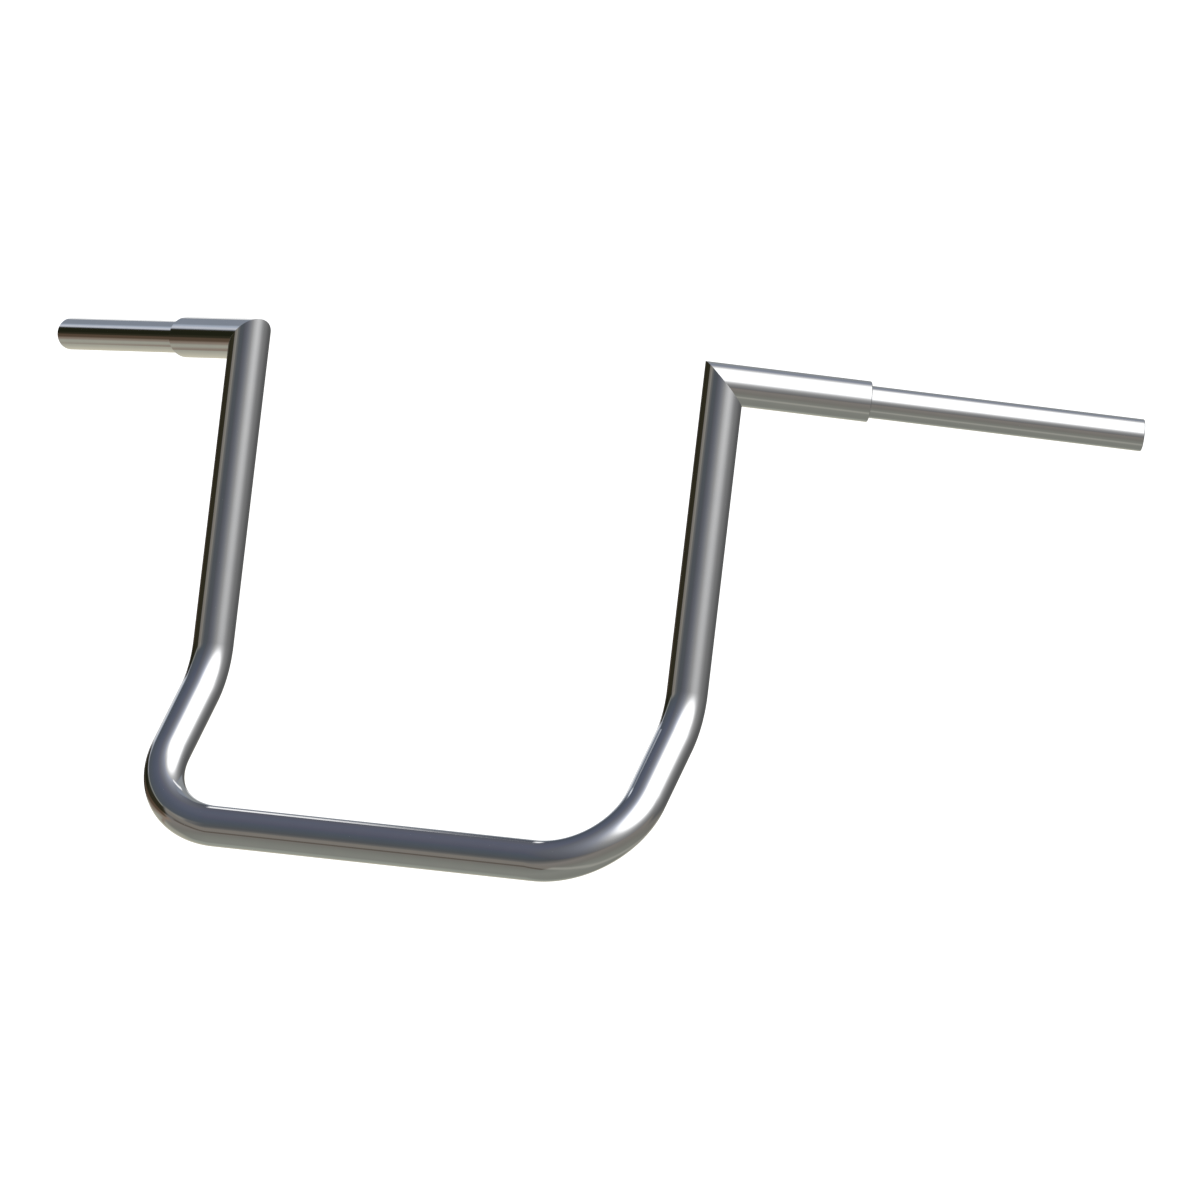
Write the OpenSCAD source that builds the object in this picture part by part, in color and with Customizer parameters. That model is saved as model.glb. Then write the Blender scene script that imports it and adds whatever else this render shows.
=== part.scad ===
// Ape hanger handlebar for a motorcycle, welded from steel tube and chrome plated.
// One tube is bent into the base, the kicked-back lower legs and the risers.
// An arm is mitred to the top of each riser, and a thinner grip tube is let into each arm.
// Origin: middle of the base tube's axis. +X to the rider's left, +Y back to the rider, +Z up.

/* [Tubes] */
// Outside diameter of the bent tube and of the arms
bar_od = 31.75; // [28:0.25:38]
// Wall of the bent tube and of the arms
bar_wall = 3; // [2:0.25:4]
// Outside diameter of the grip tubes
grip_od = 25; // [22:0.1:25.4]
// Wall of the grip tubes
grip_wall = 3; // [2:0.25:4]

/* [Bent tube] */
// Distance between the axes of the two risers
base_width = 420; // [280:5:600]
// Radius of every bend, to the tube's axis
bend_r = 69; // [50:1:80]
// Length of a lower leg, from the base's axis to where its own axis meets the riser's
kick_len = 148.5; // [120:0.5:220]
// Angle between a lower leg and its riser
kick_angle = 35.5; // [10:0.5:50]
// Length of a riser, from where its axis meets the lower leg's to where it meets the arm's
riser_len = 260.5; // [150:0.5:450]
// Lean of the risers behind the vertical, as the bar is turned in its clamps
lean = 14; // [0:1:30]

/* [Arms] */
// Length of an arm, from the riser's axis to its open end
arm_len = 113.5; // [80:0.5:180]
// Angle that the arms are swept back from the base's direction
sweep = 35; // [5:1:55]
// Slope of the arms below square to the risers
arm_drop = 0; // [-10:1:15]

/* [Grip tubes] */
// Bare length of a grip tube, outside its arm
grip_len = 213.5; // [150:0.5:280]
// Depth of the spigot that is let into the arm
spigot_len = 38; // [20:1:50]
// Height of the shoulder between spigot and grip tube, which seats on the arm's end
shoulder = 0.5; // [0.25:0.05:1]
// Play on diameter between the spigot and the arm's sized end
fit_gap = 0.1; // [0.04:0.02:0.4]

/* [Edges] */
// Size of the broken edge on each open end
edge_break = 0.6; // [0.2:0.1:1]

/* [Hidden] */
$fn = 96;
// Radii of the tubes and their bores
bar_r = bar_od / 2;
bar_bore_r = bar_r - bar_wall;
grip_r = grip_od / 2;
grip_bore_r = grip_r - grip_wall;
spigot_r = grip_r - shoulder;
socket_r = spigot_r + fit_gap / 2;
// The bend from the base into a lower leg is square
base_bend = 90;
// Angle through which an arm turns from its riser's direction, shared by the two mitred ends
arm_turn = 90 + arm_drop;
// Length of straight tube that a bend takes from each side of its corner
base_tangent = bend_r * tan(base_bend / 2);
kick_tangent = bend_r * tan(kick_angle / 2);
// Straight lengths that are left between the bends
half_base = base_width / 2 - base_tangent;
leg_straight = kick_len - base_tangent - kick_tangent;
riser_straight = riser_len - kick_tangent;
// Radius that the drawn tube gains round a bend, and how far a straight's end runs on inside its bend
bend_swell = 0.05;
bend_lap = 1;
// Spare length on each tube before its mitre is cut, and the reach of a cutting block
mitre_spare = bar_od;
block = 4 * bar_od;
// Overrun of a cut past the face that it opens
cut_over = 1;

// Straight round bar of radius r along +Z, with both ends run on into the bends next to it
module straight(len, r) {
    translate([0, 0, -bend_lap]) cylinder(h = len + 2 * bend_lap, r = r);
}

// Round bar of radius r that starts along +Z and turns by angle towards -X
module bend(angle, r) {
    translate([-bend_r, 0, 0]) rotate([90, 0, 0])
        rotate_extrude(angle = angle) translate([bend_r, 0]) circle(r + bend_swell);
}

// Places what follows a bend: at its end, with +Z along the new direction
module after_bend(angle) {
    translate([-bend_r, 0, 0]) rotate([0, -angle, 0]) translate([bend_r, 0, 0]) children();
}

// One side of the bent bar, of radius r, from the end of the base to past the mitre
module side_run(r) {
    // +Z runs out along the base, and -X points up the lower leg
    rotate([-lean - kick_angle, 0, 0]) rotate([0, 90, 0]) translate([0, 0, half_base]) {
        bend(base_bend, r);
        after_bend(base_bend) union() {
            union() {
                straight(leg_straight, r);
                translate([0, 0, leg_straight]) rotate([0, 0, 90]) bend(kick_angle, r);
            }
            translate([0, 0, leg_straight]) rotate([0, 0, 90])
                after_bend(kick_angle) straight(riser_straight + mitre_spare, r);
        }
    }
}

// The bent bar, of radius r, with both ends past their mitres
module bent_bar(r) {
    translate([-half_base, 0, 0]) rotate([0, 90, 0]) straight(2 * half_base, r);
    for (side = [0, 1]) mirror([side, 0, 0]) side_run(r);
}

// Puts its children where the axes of a riser and its arm meet, with +Z up the riser
module at_corner() {
    translate([base_width / 2, 0, 0]) rotate([-lean - kick_angle, 0, 0]) translate([0, 0, kick_len])
        rotate([kick_angle, 0, 0]) translate([0, 0, riser_len]) children();
}

// Puts its children at the same corner, with +Z out along the arm
module at_arm() {
    at_corner() rotate([0, arm_turn, sweep]) children();
}

// Block that fills the arm's side (side = 1) or the riser's side (side = 0) of the mitre plane
module mitre_block(side) {
    at_corner() rotate([0, arm_turn / 2, sweep]) translate([-block / 2, -block / 2, (side - 1) * block])
        cube(block);
}

// Ring-shaped section of a tube, turned about +Z: outer radius, bore, and a broken outer edge at z1
module open_tube(z0, z1, r, bore_r) {
    rotate_extrude() polygon([
        [bore_r, z0], [r, z0], [r, z1 - edge_break], [r - edge_break, z1], [bore_r, z1]
    ]);
}

module bent_tube() {
    color("lightsteelblue") difference() {
        bent_bar(bar_r);
        bent_bar(bar_bore_r);
        for (side = [0, 1]) mirror([side, 0, 0]) mitre_block(1);
    }
}

module arm() {
    color("silver") difference() {
        at_arm() difference() {
            open_tube(-mitre_spare, arm_len, bar_r, min(bar_bore_r, socket_r));
            translate([0, 0, -mitre_spare - cut_over])
                cylinder(h = mitre_spare + cut_over + arm_len - spigot_len, r = bar_bore_r);
            translate([0, 0, arm_len - spigot_len]) cylinder(h = spigot_len + cut_over, r = socket_r);
        }
        mitre_block(0);
    }
}

module grip_tube() {
    color("gainsboro") at_arm() translate([0, 0, arm_len]) rotate_extrude() polygon([
        [grip_bore_r, -spigot_len], [spigot_r - edge_break, -spigot_len], [spigot_r, edge_break - spigot_len],
        [spigot_r, 0], [grip_r, 0], [grip_r, grip_len - edge_break], [grip_r - edge_break, grip_len],
        [grip_bore_r, grip_len]
    ]);
}

module left_arm() { arm(); }

module right_arm() { mirror([1, 0, 0]) arm(); }

module left_grip_tube() { grip_tube(); }

module right_grip_tube() { mirror([1, 0, 0]) grip_tube(); }

bent_tube();
left_arm();
right_arm();
left_grip_tube();
right_grip_tube();
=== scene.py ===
"""Looks of a chrome plated ape hanger handlebar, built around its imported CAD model.

Axes as in the CAD: origin in the middle of the base tube, +X to the rider's left, +Y back to
the rider, +Z up. Lengths here are in metres. The camera stands in front of the bar, so the
rider's left is at the right of the picture.
"""

import bpy
import numpy as np
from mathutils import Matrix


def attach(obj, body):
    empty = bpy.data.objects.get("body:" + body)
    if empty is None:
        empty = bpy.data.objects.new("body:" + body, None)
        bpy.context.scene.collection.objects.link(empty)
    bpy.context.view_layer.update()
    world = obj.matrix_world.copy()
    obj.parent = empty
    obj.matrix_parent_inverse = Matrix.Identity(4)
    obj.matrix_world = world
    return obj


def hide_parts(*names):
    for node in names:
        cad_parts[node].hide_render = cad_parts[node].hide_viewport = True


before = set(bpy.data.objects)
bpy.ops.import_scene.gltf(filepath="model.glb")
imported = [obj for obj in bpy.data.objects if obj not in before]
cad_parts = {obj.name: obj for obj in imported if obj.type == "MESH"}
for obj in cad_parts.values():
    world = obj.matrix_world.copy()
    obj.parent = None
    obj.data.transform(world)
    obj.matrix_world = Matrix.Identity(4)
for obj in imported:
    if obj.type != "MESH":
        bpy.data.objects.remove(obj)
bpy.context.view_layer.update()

# Sizes of the tubes, as in the part's source
BAR_RADIUS = 0.015875
BAR_WALL = 0.003
GRIP_RADIUS = 0.0125
GRIP_WALL = 0.003
SHOULDER = 0.0005          # step from a spigot up to its grip tube
FIT_GAP = 0.0001           # play on diameter between a spigot and its arm
SPIGOT_LENGTH = 0.038
ARM_LENGTH = 0.1135
GRIP_LENGTH = 0.2135
EDGE_BREAK = 0.0006        # on each open end

BAR_BORE = BAR_RADIUS - BAR_WALL
GRIP_BORE = GRIP_RADIUS - GRIP_WALL
SPIGOT_RADIUS = GRIP_RADIUS - SHOULDER
SOCKET_RADIUS = SPIGOT_RADIUS + FIT_GAP / 2

# The route of the axis on the rider's left: lengths from corner to corner, and turns
HALF_BASE = 0.210
LEG_LENGTH = 0.1485
RISER_LENGTH = 0.2605
BEND_RADIUS = 0.069
KICK = np.radians(35.5)    # between a lower leg and its riser
LEAN = np.radians(14)      # of the risers behind the vertical
SWEEP = np.radians(35)     # of the arms back from the base's direction

# Fineness of the surfaces
ROUND = 128                                      # points round a tube
TURN_STEP = np.radians(1.5)                      # about the turn between two rings of a bend
RUN_SHARES = np.linspace(0.1, 0.9, 5)[:, None]   # where the rings of a straight run lie on it
ROUNDING = 0.0001                                # size of the rounding of a sharp edge
ROUNDING_SHARES = np.linspace(0, 1, 5)           # where the rings of a rounding lie on it
PAST_MITRE = 0.004                               # from a mitre's slant to the next square ring
OFF_AXIS = np.array([0.3, 0.2, 1.0])             # along no tube; a first spoke is square to it


def linear(hex_colour):
    """sRGB hex to linear RGB: c / 12.92 up to 0.04045, else ((c + 0.055) / 1.055) ** 2.4."""
    c = np.array([int(hex_colour[i:i + 2], 16) for i in (1, 3, 5)]) / 255
    return np.where(c <= 0.04045, c / 12.92, ((c + 0.055) / 1.055) ** 2.4)


def rgba(hex_colour):
    """sRGB hex to what a colour socket takes."""
    return (*linear(hex_colour), 1)


def add(tree, kind, settings=None, links=None, **values):
    """Adds one node. Settings are its properties, links the outputs fed to its sockets, by their
    name or number, and values the other sockets' constants."""
    node = tree.nodes.new(kind)
    for key, value in (settings or {}).items():
        setattr(node, key, value)
    for key, value in values.items():
        node.inputs[key.replace("_", " ")].default_value = value
    for key, output in (links or {}).items():
        tree.links.new(output, node.inputs[key])
    return node


def new_material(name):
    """An empty material and its node tree."""
    material = bpy.data.materials.new(name)
    material.use_nodes = True
    material.node_tree.nodes.clear()
    return material, material.node_tree


# The bright finish of the whole bar

CHROME = "#c7c9cf"         # bright chrome plate
CHROME_THIN = "#c0c3cb"    # the same over a buffing streak
CHROME_EDGE = "#dddee1"    # share of the light that it mirrors where it is seen almost edge on
STREAK_WIDTH = 0.0125
PEEL_WIDTH = 0.00625       # from dome to dome
PEEL_DEPTH = 0.000001


def bright_chrome_plate():
    """Bright decorative chrome on polished steel tube.

    What that gives the eye: a mirror with a faint cool tint, whose stripes have slightly soft
    edges, and which the buffing wheel left a hair uneven along the tube.
    """
    material, tree = new_material("bright_chrome_plate_on_polished_steel_tube")
    place = add(tree, "ShaderNodeTexCoord").outputs["Object"]
    # Streaks of the buffing wheel
    streak = add(tree, "ShaderNodeTexNoise", links={"Vector": place},
                 Scale=1 / STREAK_WIDTH, Detail=3.0)
    tint = add(tree, "ShaderNodeMix", {"data_type": "RGBA"}, {"Factor": streak.outputs["Fac"]},
               A=rgba(CHROME), B=rgba(CHROME_THIN))
    haze = add(tree, "ShaderNodeMapRange", links={"Value": streak.outputs["Fac"]},
               To_Min=0.045, To_Max=0.075)
    # Orange peel of the copper under the chrome
    peel = add(tree, "ShaderNodeTexNoise", links={"Vector": place},
               Scale=1 / PEEL_WIDTH, Detail=1.0)
    relief = add(tree, "ShaderNodeBump", links={"Height": peel.outputs["Fac"]},
                 Strength=1.0, Distance=PEEL_DEPTH)
    shader = add(tree, "ShaderNodeBsdfPrincipled",
                 links={"Base Color": tint.outputs["Result"], "Roughness": haze.outputs["Result"],
                        "Normal": relief.outputs["Normal"]},
                 Metallic=1.0, Specular_Tint=rgba(CHROME_EDGE))
    add(tree, "ShaderNodeOutputMaterial", links={"Surface": shader.outputs["BSDF"]})
    return material


# Surfaces of the tubes

def unit(v):
    """Each vector, along the last axis, brought to length 1."""
    return v / np.linalg.norm(v, axis=-1, keepdims=True)


def mesh_object(name, points, faces, material):
    """An object at the origin, made of the given points and four-cornered faces."""
    mesh = bpy.data.meshes.new(name)
    mesh.from_pydata(points.reshape(-1, 3).tolist(), [], faces.reshape(-1, 4).tolist())
    mesh.materials.append(material)
    made = bpy.data.objects.new(name, mesh)
    bpy.context.collection.objects.link(made)
    return made


def tube_skin(name, points, normals, material):
    """A closed skin from rows of points: row i + 1 lies past row i, and point j + 1 round from
    point j. The last row joins the first, and each row closes on itself. Faces run
    (i, j), (i, j + 1), (i + 1, j + 1), (i + 1, j), which faces out where the rows go along the
    axis and turn right-handed round it."""
    rows, cols = points.shape[:2]
    i, j = np.arange(rows)[:, None], np.arange(cols)[None, :]
    past, beside = (i + 1) % rows, (j + 1) % cols
    faces = np.stack([i * cols + j, i * cols + beside, past * cols + beside, past * cols + j], -1)
    skin = mesh_object(name, points, faces, material)
    skin.data.polygons.foreach_set("use_smooth", np.ones(rows * cols, bool))
    skin.data.normals_split_custom_set_from_vertices(normals.reshape(-1, 3).tolist())
    return skin


def spokes(along, side):
    """Unit vectors from the axis to the points of each ring:
    side * cos f + (along x side) * sin f, for f all the way round."""
    f = np.linspace(0, 2 * np.pi, ROUND, endpoint=False)[:, None]
    return side[:, None, :] * np.cos(f) + np.cross(along, side)[:, None, :] * np.sin(f)


def onto_plane(points, way, through, normal):
    """Slides points along the axis, way, until they lie in the plane."""
    return points + way * (((through - points) @ normal) / (way @ normal))[..., None]


def rounded(corners):
    """Rows of a tube's section, each (length along the axis, radius), round the closed outline
    of the given corners (length, radius, rounding).

    Where a corner has a rounding r, it is the curve
    (c - r * before) * (1 - t)^2 + 2 * c * t * (1 - t) + (c + r * after) * t^2,
    with before and after the unit ways into and out of it, and its normal turns from one wall's
    to the other's. The wall's normal is its way turned a quarter to the left.
    Returns the rows, their normals, and the corner that each belongs to.
    """
    rows, normals, whose = [], [], []
    c = np.array([k[:2] for k in corners])
    for k, (_, _, r) in enumerate(corners):
        before, after = unit(c[k] - c[k - 1]), unit(c[(k + 1) % len(c)] - c[k])
        t = ROUNDING_SHARES[:, None] if r else np.array([[0.5]])
        rows.append((c[k] - r * before) * (1 - t) ** 2 + 2 * c[k] * t * (1 - t)
                    + (c[k] + r * after) * t ** 2)
        left = [np.array([-w[1], w[0]]) for w in (before, after)]
        normals.append(unit(left[0] * (1 - t) + left[1] * t))
        whose += [k] * len(t)
    return np.concatenate(rows), np.concatenate(normals), np.array(whose)


def turned_tube(name, start, way, corners, material, cut=None, on_cut=()):
    """A straight tube: its section's rows turned about the axis. Rows of the corners named in
    on_cut are slid along the axis onto the plane through start that is square to cut, which
    points into the tube."""
    rows, normals, whose = rounded(corners)
    side = unit(np.cross(way, OFF_AXIS))
    out = spokes(way[None, :], side[None, :])[0]
    points = start + rows[:, :1, None] * way + rows[:, 1:, None] * out
    faces = normals[:, :1, None] * way + normals[:, 1:, None] * out
    for i in np.flatnonzero(np.isin(whose, on_cut)):
        points[i] = onto_plane(start + rows[i, 1] * out, way, start, cut) + rows[i, 0] * way
        faces[i] = normals[i, 0] * cut + normals[i, 1] * out
    return tube_skin(name, points, unit(faces), material)


def tube_axis(corners, radius):
    """Stations along straight runs through the corners, rounded by arcs of the given radius.

    A corner turned by angle t takes radius * tan(t / 2) from each side. On its arc the place is
    start + radius * (inward * (1 - cos a) + way * sin a) and the direction is
    way * cos a + inward * sin a, for a from 0 to t. The spoke stays square to the axis and turns
    with it, so that the rings don't twist. Returns place, direction and spoke, a row for a
    station.
    """
    place, along, side = [], [], []

    def straight_run(start, end, way, spoke):
        """Adds the stations between two places."""
        place.append(start + (end - start) * RUN_SHARES)
        along.append(np.tile(way, (len(RUN_SHARES), 1)))
        side.append(np.tile(spoke, (len(RUN_SHARES), 1)))

    here, way = corners[0], unit(corners[1] - corners[0])
    spoke = unit(np.cross(way, OFF_AXIS))
    for k, corner in enumerate(corners[1:-1], 1):
        after = unit(corners[k + 1] - corner)
        turn = np.arccos(way @ after)
        start = corner - way * radius * np.tan(turn / 2)
        straight_run(here, start, way, spoke)
        pin = unit(np.cross(way, after))
        inward = np.cross(pin, way)
        a = np.linspace(0, turn, int(np.round(turn / TURN_STEP)) + 1)[:, None]
        place.append(start + radius * (inward * (1 - np.cos(a)) + way * np.sin(a)))
        along.append(way * np.cos(a) + inward * np.sin(a))
        side.append(pin * (spoke @ pin) + (inward * np.cos(a) - way * np.sin(a)) * (spoke @ inward))
        here, way, spoke = place[-1][-1], after, side[-1][-1]
    straight_run(here, corners[-1], way, spoke)
    return np.concatenate(place), np.concatenate(along), np.concatenate(side)


# The bar's five pieces

FOOT = np.array([HALF_BASE, 0, 0])
KNEE = FOOT + LEG_LENGTH * np.array([0, np.sin(LEAN + KICK), np.cos(LEAN + KICK)])
RISER_WAY = np.array([0, np.sin(LEAN), np.cos(LEAN)])
TOP = KNEE + RISER_LENGTH * RISER_WAY
ARM_WAY = np.array([np.cos(SWEEP), np.sin(SWEEP) * np.cos(LEAN), -np.sin(SWEEP) * np.sin(LEAN)])
MITRE_WAY = unit(RISER_WAY + ARM_WAY)   # square to the plane that riser and arm are cut on
LEFT = np.array([1, 1, 1])              # the points above are on the rider's left
RIGHT = np.array([-1, 1, 1])            # and these factors mirror them to the other side


def mitred_end(top, back, out, cut):
    """The rings over a riser's cut end, from its wall to the edge of its bore, and their normals.
    The rounding's ring at share t has the radius BAR_RADIUS - ROUNDING * t^2 and lies
    ROUNDING * (1 - t)^2 back from the plane. Its normal turns from out to cut."""
    t = ROUNDING_SHARES[:, None, None]
    rim = onto_plane(top + (BAR_RADIUS - ROUNDING * t ** 2) * out, back, top, cut)
    bore_edge = onto_plane(top + BAR_BORE * out, back, top, cut)
    points = np.concatenate([rim + back * ROUNDING * (1 - t) ** 2, bore_edge[None]])
    return points, unit(np.concatenate([out * (1 - t) + cut * t, (cut - out)[None]]))


def bent_tube(material):
    """Base, lower legs and risers in one: rings of the outer radius carried along the axis from
    mitre to mitre, and rings of the bore carried back. At each mitre the rings are slid along
    the riser onto the plane of the cut, and its outer edge gets a small rounding."""
    corners = [TOP * RIGHT, KNEE * RIGHT, FOOT * RIGHT, FOOT, KNEE, TOP]
    place, along, side = tube_axis(corners, BEND_RADIUS)
    out = spokes(along, side)
    wall, bore = place[:, None, :] + BAR_RADIUS * out, place[:, None, :] + BAR_BORE * out
    right_end, right_faces = mitred_end(corners[0], along[0], out[0], MITRE_WAY * RIGHT)
    left_end, left_faces = mitred_end(corners[-1], -along[-1], out[-1], MITRE_WAY)
    points = np.concatenate([right_end[::-1], wall, left_end, bore[::-1]])
    normals = np.concatenate([right_faces[::-1], out, left_faces, -out[::-1]])
    return tube_skin("polished_bent_tube", points, normals, material)


def arm(name, hand, material):
    """Mitred at the riser, and square, with a broken edge, at the step down to the grip tube."""
    socket = ARM_LENGTH - SPIGOT_LENGTH
    square = BAR_RADIUS + PAST_MITRE
    corners = [(0, BAR_RADIUS, ROUNDING), (square, BAR_RADIUS, 0),
               (ARM_LENGTH - EDGE_BREAK, BAR_RADIUS, ROUNDING),
               (ARM_LENGTH, BAR_RADIUS - EDGE_BREAK, ROUNDING),
               (ARM_LENGTH, SOCKET_RADIUS, 0), (socket, SOCKET_RADIUS, 0), (socket, BAR_BORE, 0),
               (square, BAR_BORE, 0), (0, BAR_BORE, 0)]
    return turned_tube(name, TOP * hand, ARM_WAY * hand, corners, material,
                       cut=MITRE_WAY * hand, on_cut=(0, len(corners) - 1))


def grip_tube(name, hand, material):
    """A spigot, a small shoulder that seats on the arm's end, and the bare tube for the grip."""
    corners = [(-SPIGOT_LENGTH, SPIGOT_RADIUS - EDGE_BREAK, 0),
               (EDGE_BREAK - SPIGOT_LENGTH, SPIGOT_RADIUS, 0), (0, SPIGOT_RADIUS, 0),
               (0, GRIP_RADIUS, ROUNDING), (GRIP_LENGTH - EDGE_BREAK, GRIP_RADIUS, ROUNDING),
               (GRIP_LENGTH, GRIP_RADIUS - EDGE_BREAK, ROUNDING),
               (GRIP_LENGTH, GRIP_BORE, ROUNDING), (-SPIGOT_LENGTH, GRIP_BORE, 0)]
    return turned_tube(name, (TOP + ARM_LENGTH * ARM_WAY) * hand, ARM_WAY * hand, corners,
                       material)


chrome = bright_chrome_plate()
pieces = {"bent_tube": bent_tube(chrome)}
for kind, make in (("arm", arm), ("grip_tube", grip_tube)):
    for side, hand in (("left", LEFT), ("right", RIGHT)):
        pieces[f"{side}_{kind}"] = make(f"polished_{side}_{kind}", hand, chrome)
for node, piece in pieces.items():
    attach(piece, "root")
    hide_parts(node)
    # In the photograph hardly any tube shows the mirror image of another
    piece.visible_glossy = False


# The studio: what the chrome mirrors, a pale floor far below, and a white background

# Directions here are azimuths and heights in degrees. Azimuth 0 is -Y, and grows towards +X.
# Tone against height: beige floor, grey walls, slate blue ceiling
HEIGHTS = (-90, -60, -45, -30, -12, 0, 8, 20, 45, 62, 90)
TONES = ("#7b7c75", "#80817a", "#7a7b74", "#74726c", "#7c7772", "#62615f", "#505254", "#4d5359",
         "#505664", "#595e6c", "#6b707e")

# Patches of the room: colour, azimuth of the middle, half the width, softness, lowest and
# highest height, softness
PATCHES = (
    ("#979a90", -132, 34, 24, -62, -38, 16),    # greenish floor near the bar, at the left
    ("#9f9e91", -118, 26, 24, -46, -17, 10),    # floor on the left
    ("#c4c0ae", -152, 28, 34, -42, -8, 20),     # sunlit floor at the back left
    ("#5b5b5b", 160, 38, 20, -21, 14, 10),      # grey wall at the back right
    ("#868d98", -145, 39, 3, 9, 21, 5),         # pale blue wall at the back left
    ("#848a95", -170, 15, 8, 15, 57, 10),       # its tall part
    ("#8f9293", -167, 16, 6, 5, 37, 12),        # grey wall in front of that
    ("#acb5c3", -116, 4, 5, 14.5, 19, 4),       # lit end of the pale blue wall
    ("#c8cbd4", -112.5, 4, 3, 13, 16.5, 2),     # its lit corner
    ("#e6e8ec", -145, 17, 8, -2, 8, 5),         # window at the back left
    ("#26241a", -124, 24, 10, -14, -4.5, 4),    # its dark sill
    ("#877a6d", -95, 24, 10, -19, 0, 5),        # brown ground before the doorway
    ("#554638", -95, 23, 8, -13.5, 0, 6),       # the darker part of it
    ("#2e2b1f", -96, 29, 6, -4, 13.1, 3),       # dark doorway on the left
    ("#1f2015", -104, 8, 6, 1, 11, 3),          # the darkest part of it
    ("#646463", -46, 10, 14, 3, 18, 8),         # post beside the doorway
    ("#84827c", -57, 9.5, 7, 3, 17, 8),         # its lit side
)
# Lines of the room: colour, half the width, softness, and the directions that the line joins
LINES = (
    # Kerb, and its shadow
    ("#7a756e", 5.5, 6, ((-60, 8), (-45, 1), (-30, -9), (-15, -21), (-3, -33))),
    ("#575048", 2.8, 5, ((-58, -6), (-45, -11), (-30, -22.5), (-12, -36))),
    # Pale strip of the floor, in front and round the right
    ("#96958d", 4.5, 9, ((0, -36), (20, -48.5), (38, -55), (60, -61.5), (82, -64), (120, -58),
                         (150, -47), (178, -33))),
    # Lit edge over the doorway
    ("#9c9da1", 1.6, 2.6, ((-109, 16.2), (-97, 16.8))),
    ("#85877f", 1.7, 3.2, ((-95, 16.8), (-82, 16.6), (-70, 14))),
    # Red mat before the doorway
    ("#87776b", 1.2, 3, ((-113.5, -29.2), (-105, -26.9), (-95, -25.5), (-78, -17), (-68, -10))),
    # Lit edges high at the back
    ("#d0d5de", 1.6, 2.4, ((-112.6, 27), (-106.9, 34.8))),
    ("#ffffff", 1.3, 1.4, ((-144.9, 28), (-138.5, 40.5))),
    ("#ffffff", 2.6, 2.8, ((-180.5, 54), (-174.5, 43), (-171, 34))),
    # Lit frame of the window
    ("#eef0f3", 1.8, 4, ((-140, -4), (-130, 4.5), (-119.5, 11))),
)
# The soft light is a wide one with two middles: the direction of each, and how many degrees
# smaller the light is there
SOFT_MIDDLES = ((82, 47, 0), (114, 49, 5))
# Its level against the angle from a middle, in degrees
FALL_ANGLES = (0, 30, 34, 37, 39, 41, 44, 48, 52, 56, 60, 66, 72, 80, 92)
FALL_LEVELS = (1.4, 1.2, 1.0, 0.74, 0.58, 0.48, 0.39, 0.285, 0.235, 0.195, 0.165, 0.13, 0.11,
               0.085, 0)
# It turns cooler towards the left: from which azimuth, over how many degrees, and by which share
# of its red, green and blue
COOL_FROM = 40
COOL_OVER = 30
COOL_SHARE = np.array([-0.08, -0.03, 0.13])

ROOM_CENTRE = np.array([0, 0.18, 0.16])   # about the middle of the bar
ROOM_RADIUS = 10
ROOM_DEPTH = 3                            # of its flat floor below the centre
ROOM_POLE = 89.9                          # greatest height; a pinhole is left open at each pole

FLOOR_REACH = 40                          # to the front and to each side
FLOOR_BACK = 60
FLOOR_LEVEL = -2.9

LAMP_WIDTH = 1.6
LAMP_WATTS = 60
LAMP_DISTANCE = 2.6
LAMP_AZIMUTH = 83
LAMP_HEIGHT = 46

# From a fit of the bar's outline to the photograph: a long lens about 15.4 m away
SENSOR_MM = 36
LENS_MM = 601.37
EYE = (7.468918, -13.134537, 2.987417)
EYE_DOWN = 0.18307254                     # below level, in radians
EYE_TURN = 0.50553135                     # from +Y towards -X, in radians


def towards(azimuth, height):
    """Unit vectors in the given directions: (cos h * sin a, -cos h * cos a, sin h)."""
    a, h = np.radians(azimuth), np.radians(height)
    return np.stack([np.cos(h) * np.sin(a), -np.cos(h) * np.cos(a), np.sin(h)], -1)


def turn_from(azimuth, middle):
    """Degrees from the middle to the azimuth, the short way round."""
    return (azimuth - middle + 180) % 360 - 180


def band(x, low, high, soft):
    """1 from low to high and 0 outside, with an edge of width soft centred on each limit. The
    edge is 3 * e^2 - 2 * e^3."""
    e = np.clip([(x - low) / soft + 0.5, (high - x) / soft + 0.5], 0, 1)
    return np.prod(e * e * (3 - 2 * e), axis=0)


def off_line(azimuth, height, points):
    """Distance from each direction to the nearest of the straights that join the points, in the
    plane of azimuth and height. The nearest place on a straight is at share t of it, where
    t = (offset . run) / (run . run), kept between 0 and 1."""
    nearest = np.full(azimuth.shape, 360.0)
    for (a0, h0), (a1, h1) in zip(points, points[1:]):
        a, h = turn_from(azimuth, a0), height - h0
        run_a, run_h = a1 - a0, h1 - h0
        t = np.clip((a * run_a + h * run_h) / (run_a ** 2 + run_h ** 2), 0, 1)
        nearest = np.minimum(nearest, np.hypot(a - t * run_a, h - t * run_h))
    return nearest


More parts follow.
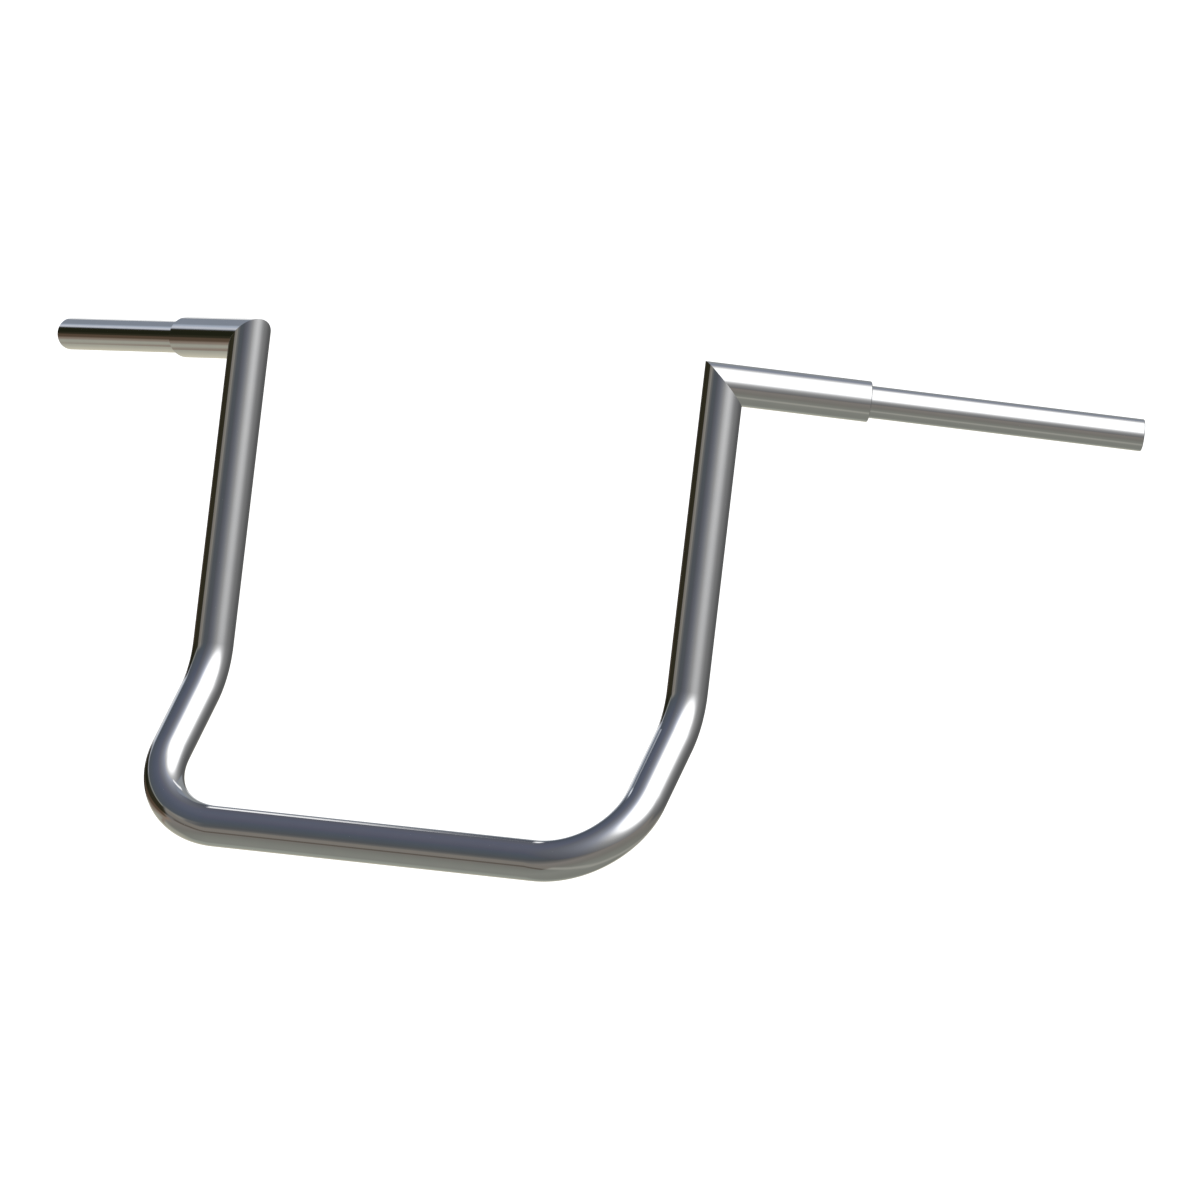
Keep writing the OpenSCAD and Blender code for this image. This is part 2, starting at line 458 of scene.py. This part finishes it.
def mirrored_room(azimuth, height):
    """Light that the chrome shows from each direction: the tones by height, then each patch and
    line laid over by its share, and the brighter of that and the soft light."""
    tones = np.array([linear(t) for t in TONES])
    light = np.stack([np.interp(height, HEIGHTS, tones[:, k]) for k in range(3)], -1)
    for colour, middle, half, soft, low, high, soft_height in PATCHES:
        share = band(turn_from(azimuth, middle), -half, half, soft)
        share *= band(height, low, high, soft_height)
        light += (linear(colour) - light) * share[..., None]
    for colour, half, soft, points in LINES:
        share = band(off_line(azimuth, height, points), -half, half, soft)
        light += (linear(colour) - light) * share[..., None]
    cool = np.clip((COOL_FROM - azimuth) / COOL_OVER, 0, 1)[..., None] * COOL_SHARE
    for middle, middle_height, smaller in SOFT_MIDDLES:
        near = towards(azimuth, height) @ towards(middle, middle_height)
        away = np.degrees(np.arccos(np.clip(near, -1, 1)))
        level = np.interp(away + smaller, FALL_ANGLES, FALL_LEVELS)
        light = np.maximum(light, level[..., None] * (1 + cool))
    return light


def studio_room():
    """The room round the bar, a point for each degree of azimuth and height, which only mirrors
    see: a dome with a flat floor, so its reach is the lesser of ROOM_RADIUS and
    ROOM_DEPTH / sin(-height). Its light is what the chrome shows, divided by the chrome's own
    colour."""
    azimuth, height = np.meshgrid(np.arange(-180.0, 180.0), np.linspace(-ROOM_POLE, ROOM_POLE, 181))
    way = towards(azimuth, height)
    reach = ROOM_DEPTH / np.maximum(-way[..., 2:], ROOM_DEPTH / ROOM_RADIUS)
    rows, cols = azimuth.shape
    i, j = np.arange(rows - 1)[:, None], np.arange(cols)[None, :]
    past, beside = i + 1, (j + 1) % cols
    faces = np.stack([i * cols + j, past * cols + j, past * cols + beside, i * cols + beside], -1)
    material, tree = new_material("studio_walls")
    paint = add(tree, "ShaderNodeAttribute", {"attribute_name": "light"})
    glow = add(tree, "ShaderNodeEmission", links={"Color": paint.outputs["Color"]}, Strength=1.0)
    add(tree, "ShaderNodeOutputMaterial", links={"Surface": glow.outputs["Emission"]})
    # Nothing but a mirror sees it, so it isn't sampled as a lamp
    material.cycles.emission_sampling = "NONE"
    room = mesh_object("studio_room", ROOM_CENTRE + reach * way, faces, material)
    light = mirrored_room(azimuth, height) / linear(CHROME)
    shade = room.data.attributes.new("light", "FLOAT_COLOR", "POINT")
    shade.data.foreach_set("color", np.concatenate([light, np.ones((rows, cols, 1))], -1).ravel())
    room.visible_camera = room.visible_diffuse = room.visible_shadow = False
    room.visible_transmission = room.visible_volume_scatter = False


def seen_as_white(tree):
    """1 for rays from the camera, from mirrors and through glass, which see the background."""
    path = add(tree, "ShaderNodeLightPath").outputs
    mirror = add(tree, "ShaderNodeMath", {"operation": "MAXIMUM"},
                 {0: path["Is Camera Ray"], 1: path["Is Glossy Ray"]})
    glass = add(tree, "ShaderNodeMath", {"operation": "MAXIMUM"},
                {0: mirror.outputs[0], 1: path["Is Transmission Ray"]})
    return glass.outputs[0]


def pale_floor():
    """A plain pale floor far below the bar, which hangs free of it as in the photograph. Its own
    white is added to what the lamp leaves there, so that a shadow still shows on it."""
    material, tree = new_material("pale_studio_floor")
    paint = add(tree, "ShaderNodeBsdfDiffuse", Color=rgba("#e6e6e6"))
    white = add(tree, "ShaderNodeEmission", Color=rgba("#ffffff"), Strength=0.7)
    both = add(tree, "ShaderNodeAddShader", links={0: paint.outputs[0], 1: white.outputs[0]})
    pick = add(tree, "ShaderNodeMixShader",
               links={"Fac": seen_as_white(tree), 1: paint.outputs[0], 2: both.outputs[0]})
    add(tree, "ShaderNodeOutputMaterial", links={"Surface": pick.outputs[0]})
    corners = np.array([(-FLOOR_REACH, -FLOOR_REACH, FLOOR_LEVEL),
                        (FLOOR_REACH, -FLOOR_REACH, FLOOR_LEVEL),
                        (FLOOR_REACH, FLOOR_BACK, FLOOR_LEVEL),
                        (-FLOOR_REACH, FLOOR_BACK, FLOOR_LEVEL)])
    mesh_object("floor", corners, np.arange(4), material)


def studio_world():
    """Even soft light on what isn't a mirror, and a white background."""
    world = bpy.data.worlds.new("studio")
    bpy.context.scene.world = world
    world.use_nodes = True
    tree = world.node_tree
    tree.nodes.clear()
    soft = add(tree, "ShaderNodeBackground", Color=rgba("#f4f5f7"), Strength=0.8)
    white = add(tree, "ShaderNodeBackground", Color=rgba("#ffffff"), Strength=1.0)
    pick = add(tree, "ShaderNodeMixShader",
               links={"Fac": seen_as_white(tree), 1: soft.outputs[0], 2: white.outputs[0]})
    add(tree, "ShaderNodeOutputWorld", links={"Surface": pick.outputs[0]})


def soft_lamp():
    """A wide lamp where the chrome mirrors its soft light, high on the right. Mirrors don't see
    it: it lights the floor."""
    lamp = bpy.data.lights.new("soft_lamp", "AREA")
    lamp.shape = "DISK"
    lamp.size = LAMP_WIDTH
    lamp.energy = LAMP_WATTS
    stand = bpy.data.objects.new("soft_lamp", lamp)
    stand.location = LAMP_DISTANCE * towards(LAMP_AZIMUTH, LAMP_HEIGHT)
    stand.rotation_euler = (np.pi / 2 - np.radians(LAMP_HEIGHT), 0, np.radians(LAMP_AZIMUTH))
    stand.visible_glossy = stand.visible_camera = False
    bpy.context.collection.objects.link(stand)


def camera():
    """The photograph's viewing angle."""
    lens = bpy.data.cameras.new("camera")
    lens.sensor_width = SENSOR_MM
    lens.lens = LENS_MM
    lens.clip_start, lens.clip_end = 0.1, 200
    eye = bpy.data.objects.new("camera", lens)
    eye.location = EYE
    eye.rotation_euler = (np.pi / 2 - EYE_DOWN, 0, EYE_TURN)
    bpy.context.collection.objects.link(eye)
    bpy.context.scene.camera = eye


studio_room()
pale_floor()
studio_world()
soft_lamp()
camera()
bpy.context.scene.view_settings.view_transform = "Standard"
